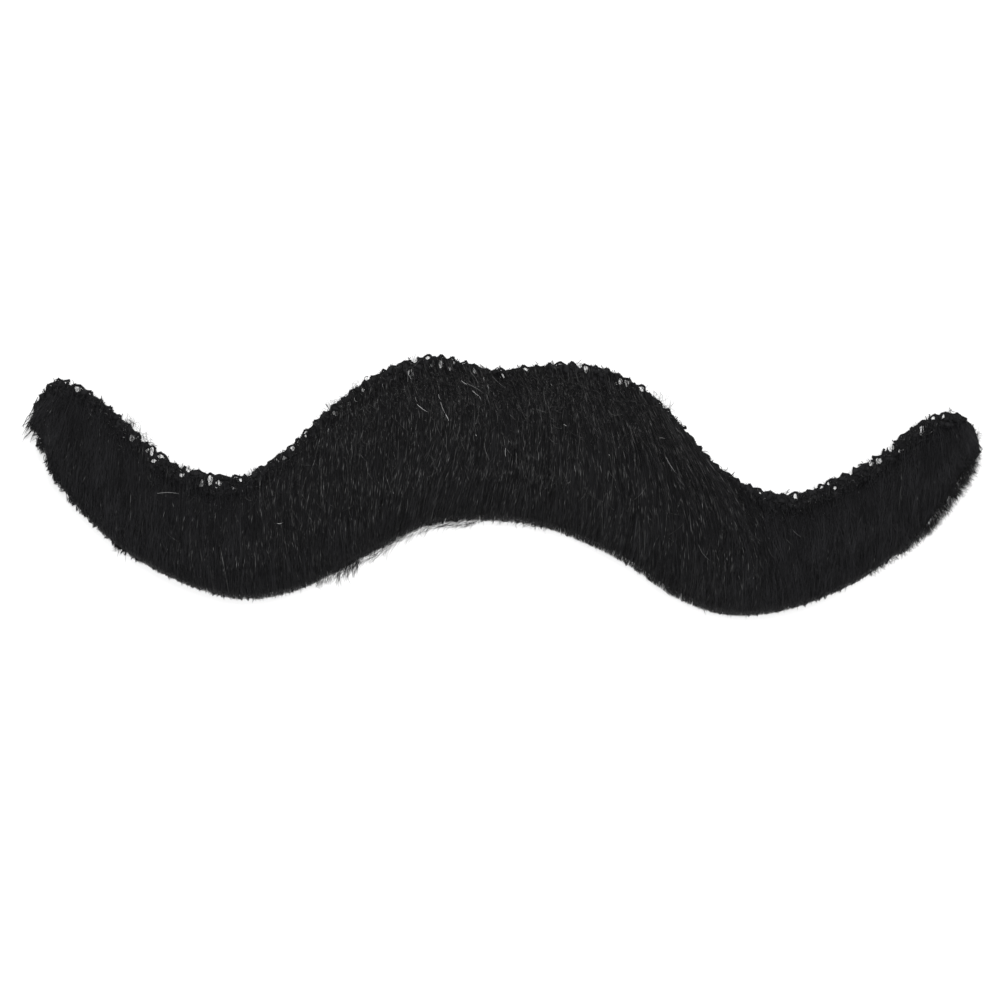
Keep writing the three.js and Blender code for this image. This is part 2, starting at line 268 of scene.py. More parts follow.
# Light stray hairs that stand out in the photograph: both ends, how far each one bows, and its shade.
STRAYS = table(
    ("from_x", "from_y", "to_x", "to_y", "bow", "shade"),
    [
        (-7.2, 10.5, -6.1, 9.8, 0.05, 1.0),
        (-6.3, 10.1, -3.1, 8.3, -0.12, 0.94),
        (-5.3, 8.9, -4.1, 8.0, 0.06, 1.0),
        (-4.1, 8.0, -3.8, 7.3, 0.02, 0.96),
        (-10.9, 8.1, -10.5, 7.1, 0.08, 0.98),
        (-10.5, 6.8, -9.6, 4.8, 0.08, 0.98),
        (-9.6, 4.8, -9.0, 3.6, -0.05, 1.0),
        (-14.4, 6.3, -12.5, 5.0, 0.1, 0.99),
        (-14.7, 7.5, -14.3, 6.6, 0.1, 0.94),
        (0.5, -0.5, 0.6, -2.0, 0.06, 0.99),
        (0.3, 1.0, 0.5, -0.4, 0.05, 0.93),
        (-4.5, 1.6, -4.35, 1.3, 0.0, 1.0),
        (10.0, 3.8, 10.5, 3.5, 0.0, 0.98),
        (7.7, 10.4, 7.9, 10.2, 0.0, 0.98),
        (-2.8, 9.9, -2.6, 9.3, 0.05, 0.97),
        (-5.9, 12.2, -4.2, 9.6, -0.2, 0.93),
        (-2.2, 11.6, 0.2, 9.5, 0.15, 0.93),
        (3.5, 10.4, 4.9, 8.0, 0.15, 0.92),
        (6.5, 9.3, 7.4, 6.3, 0.2, 0.93),
        (2.2, 7.6, 4.7, 2.9, 0.2, 0.92),
        (18.0, 7.0, 19.1, 3.8, 0.15, 0.92),
        (-17.8, -8.4, -17.6, -8.7, 0.0, 0.95),
        (-26.6, -13.1, -26.5, -14.4, 0.05, 0.93),
        (-29.3, -7.6, -29.2, -8.5, 0.05, 0.94),
        (-20.1, -1.2, -20.0, -2.3, 0.05, 0.93),
        (12.0, -3.0, 12.3, -4.2, 0.05, 0.95),
        (21.0, 3.9, 22.0, 0.9, 0.15, 0.93),
        (27.1, -1.0, 29.0, -3.8, 0.15, 0.95),
        (25.9, 2.1, 26.9, 2.0, -0.1, 0.95),
        (29.0, -4.1, 30.3, -5.7, 0.1, 0.93),
        (17.6, -0.9, 17.8, -1.2, 0.0, 0.98),
        (10.9, -5.9, 11.4, -5.6, 0.1, 0.94),
        (33.4, -2.5, 34.5, -4.7, 0.1, 0.94),
        (32.9, -15.3, 35.3, -18.1, 0.35, 0.93),
        (44.4, -15.2, 45.7, -17.4, 0.15, 0.92),
        (48.5, -12.3, 50.2, -13.6, 0.1, 0.93),
        (47.4, -13.8, 48.7, -14.9, 0.1, 0.92),
        (62.3, -16.6, 62.2, -17.4, 0.0, 0.93),
        (-68.8, 3.0, -68.4, 2.4, 0.0, 0.93),
        (-56.9, -9.95, -53.0, -9.95, -0.2, 0.96),
        (-30.1, -3.2, -30.0, -4.9, 0.1, 0.93),
        (-33.0, -5.0, -33.4, -6.6, 0.1, 0.92),
        (-3.5, 11.3, -3.4, 10.6, 0.05, 0.98),
        (-36.8, -14.2, -35.8, -14.0, 0.15, 1.0),
        (-24.9, 7.1, -24.3, 6.4, 0.25, 0.97),
        (-29.0, 1.8, -29.1, 1.2, 0.0, 0.96),
        (-20.3, 9.6, -20.2, 8.9, 0.05, 0.95),
        (-16.1, 11.9, -15.9, 10.9, 0.08, 1.0),
        (-15.8, 11.2, -15.5, 10.4, 0.08, 0.97),
    ],
)


def smooth(curve, key, column, place):
    """A smooth curve through one column of a table, at places in its key column."""
    keys, values = curve[key], curve[column]
    i = np.clip(np.searchsorted(keys, place) - 1, 0, len(keys) - 2)
    before, after = np.maximum(i - 1, 0), np.minimum(i + 2, len(keys) - 1)
    gap = keys[i + 1] - keys[i]
    t = np.clip((place - keys[i]) / gap, 0, 1)
    rise = values[i + 1] - values[i]
    bend_from = gap * (values[i + 1] - values[before]) / (keys[i + 1] - keys[before]) - rise
    bend_to = rise - gap * (values[after] - values[i]) / (keys[after] - keys[i])
    return values[i] + t * rise + t * (1 - t) * ((1 - t) * bend_from + t * bend_to)


def section(column, x):
    return smooth(SECTIONS, "along", column, np.asarray(x, float) / HALF_SPAN)


def top_at(x):
    return RISE * section("top", x)


def foot_at(x):
    return RISE * section("foot", x)


def bare_at(x):
    return BARE_MARGIN * np.maximum(section("bare", x), 0)


def fall_at(x):
    """How far a hair that is rooted at x falls to the lower edge."""
    return np.maximum(top_at(x) - bare_at(x) - foot_at(x), 0.5)


def pile_height(root_x, down):
    """Height of the pile's surface over the table."""
    place = np.clip(down, 0, 1)
    loft = smooth(PROFILE, "down", "loft", place) * section("loft", root_x)
    droop = np.maximum(smooth(PROFILE, "down", "droop", place), 0)
    return PILE_BACK + PILE_LOFT * loft - (PILE_BACK - FOOT_LIFT) * droop


def comb(root_x, down):
    """Place in the plane of a hair that is rooted at x, a share down of the way along its fall."""
    root_y = top_at(root_x) - bare_at(root_x)
    tip_x = np.clip(root_x + fall_at(root_x) * section("lean", root_x), -LEFT_REACH, RIGHT_REACH)
    tip_y = np.minimum(foot_at(tip_x), root_y - 0.5)
    return root_x + (tip_x - root_x) * down, root_y + (tip_y - root_y) * down


def ripple(x, y, seed, scale):
    """Gentle noise from -1 to 1 over the plane, with waves about scale millimetres long."""
    phases = np.random.default_rng(seed).uniform(0, 2 * math.pi, (4, 3))
    total = 0
    for k, (a, b, c) in enumerate(phases):
        reach = 2 * math.pi / (scale * (0.7 + 0.25 * k))
        total = total + np.sin(x * reach * math.cos(a) + y * reach * math.sin(a) + b) * math.cos(c * 0.2)
    return total / 4


# Meshes


def new_piece(name, points, faces, material, stands_for):
    """A mesh object in metres from points in millimetres. Faces all have the same number of corners."""
    mesh = bpy.data.meshes.new(name)
    faces = np.asarray(faces, np.int32)
    corners = faces.shape[1]
    mesh.vertices.add(len(points))
    mesh.vertices.foreach_set("co", (np.asarray(points, float) * MM).astype(np.float32).ravel())
    mesh.loops.add(faces.size)
    mesh.loops.foreach_set("vertex_index", faces.ravel())
    mesh.polygons.add(len(faces))
    mesh.polygons.foreach_set("loop_start", np.arange(len(faces), dtype=np.int32) * corners)
    mesh.update(calc_edges=True)
    mesh.validate()
    mesh.shade_smooth()
    mesh.materials.append(material)
    piece = bpy.data.objects.new(name, mesh)
    bpy.context.scene.collection.objects.link(piece)
    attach(piece, "root")
    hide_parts(stands_for)
    return piece


def unit(v):
    return v / np.maximum(np.linalg.norm(v, axis=-1, keepdims=True), 1e-9)


def tubes(lines, radii, sides, rng, pointed):
    """Closed tubes along lines (n, k, 3) with radii (n, k). A pointed one closes on its last point.
    Returns points, triangles, and for each point its tube's number and its share along it."""
    n, k, _ = lines.shape
    tangents = unit(np.gradient(lines, axis=1))
    aside = unit(np.cross(tangents, np.array([0.0, 0.0, 1.0]) + 1e-4))
    upward = np.cross(aside, tangents)
    turn = rng.uniform(0, 2 * math.pi, (n, 1)) + np.arange(sides) * 2 * math.pi / sides
    ring = (
        aside[:, :, None, :] * np.cos(turn)[:, None, :, None]
        + upward[:, :, None, :] * np.sin(turn)[:, None, :, None]
    )
    rings = lines[:, :, None, :] + ring * radii[:, :, None, None]
    last = k - 1 if pointed else k
    points = rings[:, :last].reshape(n, last * sides, 3)
    if pointed:
        points = np.concatenate([points, lines[:, -1:]], axis=1)
    faces = []
    for i in range(last - 1):
        for j in range(sides):
            a, b = i * sides + j, i * sides + (j + 1) % sides
            faces += [(a, b, b + sides), (a, b + sides, a + sides)]
    faces += [(0, j + 1, j) for j in range(1, sides - 1)]
    base = (last - 1) * sides
    if pointed:
        faces += [(base + j, base + (j + 1) % sides, last * sides) for j in range(sides)]
    else:
        faces += [(base, base + j, base + j + 1) for j in range(1, sides - 1)]
    faces = np.array(faces)[:, ::-1]
    count = points.shape[1]
    all_faces = (faces[None] + np.arange(n)[:, None, None] * count).reshape(-1, 3)
    along = np.repeat(np.arange(last) / (k - 1), sides)
    if pointed:
        along = np.append(along, 1.0)
    owner = np.repeat(np.arange(n), count)
    return points.reshape(-1, 3), all_faces, owner, np.tile(along, n)


def strand_piece(
    name, lines, radii, shade, material, rng, sides=3, pointed=True, stands_for="fur_pile"
):
    """One mesh of many strands. Each strand keeps its shade, and each point its share along the strand."""
    points, faces, owner, along = tubes(lines, radii, sides, rng, pointed)
    piece = new_piece(name, points, faces, material, stands_for)
    tone_piece(piece, shade[owner], along)


def tone_piece(piece, tone, along):
    """Keep a shade and a share along for each point, also as a flat map for baking the colour."""
    mesh = piece.data
    tone = tone.astype(np.float32)
    mesh.attributes.new("shade", "FLOAT", "POINT").data.foreach_set("value", tone)
    mesh.attributes.new("along", "FLOAT", "POINT").data.foreach_set("value", along.astype(np.float32))
    corner = np.zeros(len(mesh.loops), np.int32)
    mesh.loops.foreach_get("vertex_index", corner)
    flat = np.stack([tone[corner], along[corner]], axis=1) * 0.98 + 0.01
    mesh.uv_layers.new(name="OFBake").data.foreach_set("uv", flat.astype(np.float32).ravel())


# Materials


def principled(name, roughness, specular):
    material = bpy.data.materials.new(name)
    material.use_nodes = True
    shader = material.node_tree.nodes["Principled BSDF"]
    shader.inputs["Roughness"].default_value = roughness
    shader.inputs["Specular IOR Level"].default_value = specular
    return material, material.node_tree, shader


def attribute_node(tree, name):
    node = tree.nodes.new("ShaderNodeAttribute")
    node.attribute_name = name
    return node.outputs["Fac"]


def ramp(tree, factor, stops):
    """A colour ramp through stops, each a place and a colour."""
    node = tree.nodes.new("ShaderNodeValToRGB")
    elements = node.color_ramp.elements
    while len(elements) < len(stops):
        elements.new(0.5)
    for element, (place, colour) in zip(elements, stops):
        element.position = place
        element.color = (*colour, 1)
    tree.links.new(factor, node.inputs["Fac"])
    return node.outputs["Color"]


def mixed(tree, blend, first, second):
    """Two colours put together in full."""
    node = tree.nodes.new("ShaderNodeMix")
    node.data_type = "RGBA"
    node.blend_type = blend
    node.inputs[0].default_value = 1.0
    tree.links.new(first, node.inputs[6])
    tree.links.new(second, node.inputs[7])
    return node.outputs[2]


def scaled(tree, value, factor):
    node = tree.nodes.new("ShaderNodeMath")
    node.operation = "MULTIPLY"
    node.inputs[1].default_value = factor
    tree.links.new(value, node.inputs[0])
    return node.outputs[0]


def noise_at(tree, vector, scale, detail=2.0):
    node = tree.nodes.new("ShaderNodeTexNoise")
    node.inputs["Scale"].default_value = scale
    node.inputs["Detail"].default_value = detail
    tree.links.new(vector, node.inputs["Vector"])
    return node.outputs["Fac"]


def grey(value, blue=1.0):
    return (value, value, value * blue)


# A painted glint's place in the noise: how far it moves from one strand's shade to the next, and along a
# strand
GLINT_APART = 900
GLINT_PACE = 6


def hair_material(name, glint, tip):
    """Black synthetic hair: dull strands of a shade under 0.3, strands with short painted glints (painted
    highlights in the base colour) above it, and a few grey ones near 1. glint is the grey of a painted glint,
    and tip how much colour a strand keeps at its tip, where it is darkened as painted shade."""
    material, tree, shader = principled(name, 0.55, 0.07)
    shade = attribute_node(tree, "shade")
    along = attribute_node(tree, "along")
    # Tones by shade: the lighter strands from 0.75 to 0.92 stand for painted highlights
    tones = [
        (0.0, grey(0.0115, 1.08)),
        (0.3, grey(0.0225, 1.08)),
        (0.31, grey(0.006, 1.08)),
        (0.5, grey(0.013, 1.05)),
        (0.8, grey(0.03, 1.02)),
        (0.92, grey(0.05)),
        (1.0, grey(0.8)),
    ]
    base = ramp(tree, shade, tones)
    place = tree.nodes.new("ShaderNodeCombineXYZ")
    tree.links.new(scaled(tree, shade, GLINT_APART), place.inputs["X"])
    tree.links.new(scaled(tree, along, GLINT_PACE), place.inputs["Y"])
    noise = noise_at(tree, place.outputs["Vector"], 1.0, detail=0.0)
    # Painted glints: short lighter stretches along strands with a shade over 0.3, a painted highlight in the
    # base colour
    painted_glints = ramp(tree, noise, [(0.58, grey(0.0)), (0.68, grey(glint * 0.4)), (0.78, grey(glint))])
    glinted = ramp(tree, shade, [(0.3, grey(0.0)), (0.32, grey(0.6)), (0.8, grey(1.0))])
    colour = mixed(tree, "ADD", base, mixed(tree, "MULTIPLY", painted_glints, glinted))
    # A little darker near the root, and darker towards the tip down to tip: at the tips this is painted shade
    fade = ramp(tree, along, [(0.0, grey(0.8)), (0.3, grey(1.0)), (0.6, grey(1.0)), (0.95, grey(tip))])
    colour = mixed(tree, "MULTIPLY", colour, fade)
    tree.links.new(colour, shader.inputs["Base Color"])
    return material


def body_material():
    """The dark inside of the pile."""
    material, tree, shader = principled("pile_inside", 0.9, 0.05)
    place = tree.nodes.new("ShaderNodeTexCoord")
    stretch = tree.nodes.new("ShaderNodeMapping")
    stretch.inputs["Scale"].default_value = (4000, 250, 400)
    tree.links.new(place.outputs["Object"], stretch.inputs["Vector"])
    noise = noise_at(tree, stretch.outputs["Vector"], 1.0)
    stops = [(0.35, (0.007, 0.007, 0.0075)), (0.75, (0.015, 0.015, 0.016))]
    tree.links.new(ramp(tree, noise, stops), shader.inputs["Base Color"])
    return material


def yarn_material():
    """Dull black knitting yarn."""
    material, tree, shader = principled("net_yarn", 0.85, 0.08)
    stops = [(0.0, (0.008, 0.008, 0.0087)), (1.0, (0.016, 0.016, 0.017))]
    tree.links.new(ramp(tree, attribute_node(tree, "shade"), stops), shader.inputs["Base Color"])
    return material


def strip_material():
    """Off-white release film with a faint crinkle."""
    material, tree, shader = principled("release_film", 0.4, 0.5)
    place = tree.nodes.new("ShaderNodeTexCoord")
    noise = noise_at(tree, place.outputs["Object"], 300)
    stops = [(0.3, (0.74, 0.72, 0.66)), (0.7, (0.84, 0.82, 0.77))]
    tree.links.new(ramp(tree, noise, stops), shader.inputs["Base Color"])
    bump = tree.nodes.new("ShaderNodeBump")
    bump.inputs["Strength"].default_value = 0.2
    bump.inputs["Distance"].default_value = 0.0001
    tree.links.new(noise, bump.inputs["Height"])
    tree.links.new(bump.outputs["Normal"], shader.inputs["Normal"])
    return material


def floor_material():
    material, tree, shader = principled("pale_table", 0.9, 0.1)
    place = tree.nodes.new("ShaderNodeTexCoord")
    noise = noise_at(tree, place.outputs["Object"], 40)
    stops = [(0.3, (0.9, 0.9, 0.9)), (0.7, (0.92, 0.92, 0.92))]
    tree.links.new(ramp(tree, noise, stops), shader.inputs["Base Color"])
    return material


# Hair materials: the grey of the painted glints, and how much colour is left at the tips; the hem hairs keep
# least, painted shade along the lower edge
HAIR = hair_material("black_hair", 0.14, 0.8)
HEM_HAIR = hair_material("black_hair_hem", 0.05, 0.6)
ROOT_HAIR = hair_material("black_hair_root", 0.12, 0.9)
INSIDE = body_material()
YARN = yarn_material()


# Adhesive strip

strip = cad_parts["adhesive_strip"]
strip.data.materials.clear()
strip.data.materials.append(strip_material())


# Places on the net and on the pile


def edge_course():
    """Points along the net's upper edge, with the length along it up to each."""
    x = np.linspace(-HALF_SPAN + NET_END_INSET, HALF_SPAN - NET_END_INSET, 1201)
    y = top_at(x)
    length = np.concatenate([[0], np.cumsum(np.hypot(np.diff(x), np.diff(y)))])
    return x, y, length


EDGE_X, EDGE_Y, EDGE_LENGTH = edge_course()
STRAIGHT_DEPTH = 5.0


def net_place(run, depth):
    """A place on the net, a run along its upper edge and a depth below it."""
    x = np.interp(run, EDGE_LENGTH, EDGE_X)
    y = np.interp(run, EDGE_LENGTH, EDGE_Y)
    tilt = np.interp(run, EDGE_LENGTH, np.gradient(EDGE_Y, EDGE_X))
    norm = np.sqrt(1 + tilt**2)
    near = np.minimum(depth, STRAIGHT_DEPTH)
    beyond = np.maximum(depth - STRAIGHT_DEPTH, 0)
    return x + near * tilt / norm, y - near / norm - beyond * norm


def surface_at(x, y):
    """Height of the pile, or of the net beside it, at a place in the plane."""
    root_x = x
    for _ in range(3):
        root_y = top_at(root_x) - bare_at(root_x)
        down = np.clip((root_y - y) / fall_at(root_x), 0, 1)
        root_x = x - fall_at(root_x) * section("lean", root_x) * down
    return pile_height(root_x, down)


# Room for the thickness of the yarn around an opening
OPENING_SPARE = 0.08


def opening_distance(x, y):
    """For each opening, how far places are from its middle, in its half sizes. Yields middle and offsets."""
    for along, depth, wide, tall in zip(*OPENINGS.values()):
        middle_x, middle_y = along, np.interp(along, EDGE_X, EDGE_Y) - depth
        wide, tall = wide + OPENING_SPARE, tall + OPENING_SPARE
        dx, dy = (x - middle_x) / wide, (y - middle_y) / tall
        yield middle_x, middle_y, wide, tall, dx, dy, np.hypot(dx, dy) + 1e-6


# How far from an opening's middle, in its half sizes, hairs and yarn are pushed aside
PARTING_REACH = 2.5


def parted(lines, spare=0.55):
    """Lines pushed aside from the openings, and which of them to keep: not those right across one, nearer
    its middle than spare."""
    x, y = lines[..., 0].copy(), lines[..., 1].copy()
    keep = np.ones(len(lines), bool)
    for *_, far in opening_distance(x, y):
        keep &= far.min(axis=1) > spare
    for middle_x, middle_y, wide, tall, dx, dy, far in opening_distance(x, y):
        near = far < PARTING_REACH
        pushed = np.where(near, (far**4 + 1) ** 0.25 / far, 1)
        x = np.where(near, middle_x + dx * pushed * wide, x)
        y = np.where(near, middle_y + dy * pushed * tall, y)
    return np.stack([x, y, lines[..., 2]], axis=2), keep


# Net


def net_yarn():
    """Yarn of a coarse net with six-sided meshes, in short bent tubes that are thicker at the knots. The rows
    under the pile are plainer."""
    rng = np.random.default_rng(11)
    pitches = int(round(EDGE_LENGTH[-1] / MESH_PITCH))
    pitch = EDGE_LENGTH[-1] / pitches
    starts, ends, row_of = [], [], []
    for row in range(MESH_ROWS):
        depth = EDGE_YARN / 2 + row * MESH_ROW_STEP
        for i in range(2 * pitches):
            sign = 1 if (i + row) % 2 else -1
            here = (i * pitch / 2, depth + sign * MESH_ZIGZAG)
            starts.append(here)
            ends.append(((i + 1) * pitch / 2, depth - sign * MESH_ZIGZAG))
            row_of.append(row)
            if sign > 0 and row < MESH_ROWS - 1:
                starts.append(here)
                ends.append((i * pitch / 2, depth + MESH_ROW_STEP - MESH_ZIGZAG))
                row_of.append(row)
    starts, ends, row_of = np.array(starts), np.array(ends), np.array(row_of)

    def place(pairs):
        """Ends on the net, each moved a little. Ends that meet have one key, and so move together."""
        key = np.round(pairs / 0.05).astype(int)
        mixed_key = (key[:, 0] * 73856093) ^ (key[:, 1] * 19349663)
        wobble = np.stack([np.sin(mixed_key % 1013), np.cos(mixed_key % 997), np.sin(mixed_key % 769)], 1)
        x, y = net_place(pairs[:, 0], pairs[:, 1])
        z = np.full(len(x), (NET_BACK + NET_FACE) / 2)
        return np.stack([x, y, z], 1) + wobble * np.array(YARN_WOBBLE)

    a, b = place(starts), place(ends)
    middle = (a + b) / 2
    keep = (
        (middle[:, 1] > foot_at(middle[:, 0]) + NET_HEM_INSET)
        & (np.abs(middle[:, 0]) < HALF_SPAN - NET_END_INSET)
    )
    bold = keep & (row_of < BOLD_ROWS)
    plain = keep & (row_of >= BOLD_ROWS)
    steps = np.linspace(0, 1, 4)
    lines = a[bold][:, None] + (b - a)[bold][:, None] * steps[None, :, None]
    lines = lines + np.sin(steps * math.pi)[None, :, None] * rng.normal(0, 0.12, (bold.sum(), 1, 3))
    lines, whole = parted(lines, 0.4)
    lines = lines[whole]
    thick = rng.uniform(*YARN_RADII, (len(lines), 1)) * (1.25 - 0.4 * np.sin(steps * math.pi))
    tone = rng.uniform(0, 1, len(lines))
    strand_piece("net_knit", lines, thick, tone, YARN, rng, 6, False, "net_backing")
    under = np.stack([a[plain], b[plain]], axis=1)
    thick = np.full((len(under), 2), UNDER_YARN_RADIUS)
    tone = rng.uniform(0, 1, len(under))
    strand_piece("net_under", under, thick, tone, YARN, rng, 4, False, "net_backing")


net_yarn()


# Pile


def pile_inside():
    """The dark body of the pile under its outer hairs, closed underneath."""
    stations, inset = 150, 0.9
    root_x = np.linspace(-HALF_SPAN + 3.2, HALF_SPAN - 2.2, stations)
    down = np.array([0.03, 0.08, 0.16, 0.28, 0.42, 0.56, 0.7, 0.8, 0.88, 0.93, 0.96])
    rings = []
    for x in root_x:
        px, py = comb(x, down)
        py = py + edge_inset(px) * down
        pz = np.maximum(pile_height(x, down) - inset, PILE_BACK + 0.05)
        pz[down > 0.9] = np.maximum(pile_height(x, down[down > 0.9]) - 1.6 * inset, FOOT_LIFT + 0.4)
        under = np.array([(px[-1], py[-1], FOOT_LIFT + 0.1), (px[-1], py[-1] + 0.6, FOOT_LIFT + 0.1)])
        back = np.array([(px[-1], py[-1] + 1.4, PILE_BACK), (px[0], py[0], PILE_BACK)])
        rings.append(np.concatenate([np.stack([px, py, pz], 1), under, back]))
    rings = np.array(rings)
    n, k, _ = rings.shape
    faces = []
    for i in range(n - 1):
        for j in range(k):
            a, b = i * k + j, i * k + (j + 1) % k
            faces += [(a, b, b + k), (a, b + k, a + k)]
    for j in range(1, k - 1):
        faces += [(0, j + 1, j), ((n - 1) * k, (n - 1) * k + j, (n - 1) * k + j + 1)]
    new_piece("pile_inside", rings.reshape(-1, 3), faces, INSIDE, "fur_pile")


# Where the dense pile stops short of the lower edge and a thin fringe goes on: places along the part, and
# millimetres.
EDGE_INSET = (
    [-78, -77, -76.2, -75.5, 60, 66, 70.5, 72.5, 76, 79],
    [2.0, 1.5, 0.5, 0, 0, 0.4, 0.7, 2.2, 2.8, 2.4],
)


def edge_inset(x):
    """How far the dense pile stops short of the lower edge at x."""
    return np.interp(x, *EDGE_INSET) * (1 + 0.4 * ripple(x, 0 * x, 8, 4))


pile_inside()


# How the combed hairs bow out over the right slope, and sweep to the left under the hump's left half: places
# along the part, and millimetres.
RIGHT_SLOPE_BOW = ([8, 18, 34, 44], [0, 2.4, 2.6, 0])
LEFT_HUMP_SWEEP = ([-26, -16, -8, 0], [0, -1.6, -1.4, 0])

# How far the hairs sweep to the right just under the hump's upper edge.
HUMP_FAN = ([-22, -13, 2, 10], [0, 2.2, 2.2, 0.3])

# How far single hairs stray from the combed direction along the part, more so on the wings.
UNRULY = ([-80, -45, -20, 10, 36, 80], [2.2, 1.5, 1.2, 1.3, 2.0, 2.5])


def hair_lines(root_x, start, end, layer, knots, rng, dense_end=1.0):
    """Combed hairs as lines (n, k, 3). start and end are shares of the fall, and layer is how high in the
    pile each one lies, 1 at the surface. Hairs that share a lock draw together towards their tips."""
    n = len(root_x)
    s = np.linspace(0, 1, knots)
    t = (1 - (1 - s) ** dense_end)[None]
    down = start[:, None] + (end - start)[:, None] * t
    spread = np.repeat(root_x[:, None], knots, 1)
    x, y = comb(spread, down)
    combed_x = x
    drift = ripple(x, y, 3, 14) * 0.5 + ripple(x, y, 4, 5) * 0.3
    bow = np.interp(x, *RIGHT_SLOPE_BOW) * np.sin(np.clip(down, 0, 1) * math.pi)
    sweep = np.interp(x, *LEFT_HUMP_SWEEP) * np.clip(down, 0, 1) ** 2
    unruly = np.interp(root_x, *UNRULY)[:, None]
    turn = rng.normal(0, 0.06, (n, 1)) * unruly
    length = (end - start)[:, None] * fall_at(root_x)[:, None]
    ends_fade = np.clip((HALF_SPAN - np.abs(spread)) / 8, 0, 1)
    x = x + (drift + turn * length) * t * ends_fade
    wave = rng.normal(0, 0.11, (n, 1)) * np.sin(t * rng.uniform(3, 9, (n, 1)) + rng.uniform(0, 6, (n, 1)))
    wave = wave * unruly
    fan = np.interp(combed_x, *HUMP_FAN) * np.sin(np.clip(down, 0, 1) ** 0.65 * math.pi)
    x = x + wave + bow + sweep + fan
    cell = np.floor(root_x / LOCK_WIDTH + rng.uniform(-0.3, 0.3, n)).astype(int)
    level = np.floor(start * LOCK_LEVELS + rng.uniform(-0.3, 0.3, n)).astype(int)
    mixed_key = ((cell * 92821) ^ (level * 68917)) % 4093
    centre = (cell + 0.5 + 0.35 * np.sin(mixed_key * 1.7)) * LOCK_WIDTH
    pull = 0.25 + 0.25 * np.sin(mixed_key * 0.9)
    x = x + ((centre - root_x) * pull)[:, None] * t**1.5 * ends_fade
    lift = 0.25 * np.sin(mixed_key * 2.3)
    surface = pile_height(spread, down)
    rise = 1 - (1 - np.clip(t * 1.6, 0, 1)) ** 2
    height = PILE_BACK + (surface - PILE_BACK) * (0.25 + 0.75 * rise) * layer[:, None]
    height = np.where(surface < PILE_BACK, surface * (0.6 + 0.4 * layer[:, None]), height)
    bob = rng.normal(0, 0.1, (n, 1)) * np.sin(t * rng.uniform(4, 10, (n, 1)) + rng.uniform(0, 6, (n, 1)))
    height = height + (lift[:, None] * t + bob) * np.clip(surface / 3, 0, 1)
    y = y + (foot_at(x) - foot_at(combed_x)) * np.clip(down, 0, 1) ** 2
    y = y + edge_inset(x) * np.clip(down, 0, 1)
    return np.stack([x, y, np.maximum(height, LOWEST_HAIR)], axis=2)


# A hair's radius at its tip, as a share of that at its root
TIP_SHARE = 0.35


def taper(count, knots, thin, thick, rng):
    """Radii that narrow towards the tip."""
    t = np.linspace(0, 1, knots)[None]
    return rng.uniform(thin, thick, (count, 1)) * (1 - (1 - TIP_SHARE) * t**3)


# Share of hairs with painted glints by place along the part: most on the hump, few on the wings
GLINTED_SHARE = (
    [-80, -62, -45, -34, -20, 12, 26, 36, 44, 80],
    [0.1, 0.12, 0.3, 0.65, 1, 1, 0.85, 0.55, 0.07, 0.03],
)


def glinted_share_at(x):
    return np.interp(x, *GLINTED_SHARE)


def shades(count, rng, highlight_share=0.1, glinted_share=1.0, patches=0.0):
    """Tones of hairs with painted glints and of dull hairs without them, with a share of lighter ones among
    the glinted, which stand for painted highlights. patches makes the dull ones darker or lighter by place,
    and 0 leaves them as they are."""
    tone = 0.32 + rng.beta(1.6, 3.2, count) * 0.48
    # Lighter strands: painted highlights
    light = rng.uniform(0, 1, count) < highlight_share
    tone = np.where(light, rng.uniform(0.75, 0.92, count), tone)
    dull = rng.uniform(0, 1, count) > glinted_share
    return np.where(dull, np.clip(rng.uniform(0.05, 0.25, count) + 0.22 * patches, 0, 0.3), tone)


# Points along a combed hair
COMBED_KNOTS = 5


def upper_hairs(name, count, seed):
    """Hairs whose tips end on the pile's face."""
    rng = np.random.default_rng(seed)
    root_x = rng.uniform(-HALF_SPAN + 2.0, HALF_SPAN - 1.5, count)
    highest = -np.maximum(bare_at(root_x) - 0.5, 0) / fall_at(root_x)
    start = np.maximum(rng.uniform(-0.05, 0.62, count) - 0.15 * (rng.uniform(0, 1, count) < 0.26), highest)
    length = rng.uniform(*UPPER_LENGTHS, count) / fall_at(root_x)
    end = np.minimum(start + length, rng.uniform(0.72, 0.97, count))
    layer = np.clip(rng.beta(5, 1.6, count) * 1.06, 0.3, 1.04)
    lines, whole = parted(hair_lines(root_x, start, end, layer, COMBED_KNOTS, rng), 0.3)
    lines = lines[whole]
    radii = taper(len(lines), COMBED_KNOTS, *UPPER_RADII, rng)
    middle_x, middle_y, _ = lines[:, COMBED_KNOTS // 2].T
    # How many hairs here carry painted glints
    glinted = glinted_share_at(lines[:, 0, 0]) * (1 + 0.4 * ripple(middle_x, middle_y * 0.5, 12, 7))
    patches = 1.6 * ripple(middle_x, middle_y * 0.6, 14, 4)
    tone = shades(len(lines), rng, 0.08, glinted, patches)
    strand_piece(name, lines, radii, tone, HAIR, rng)


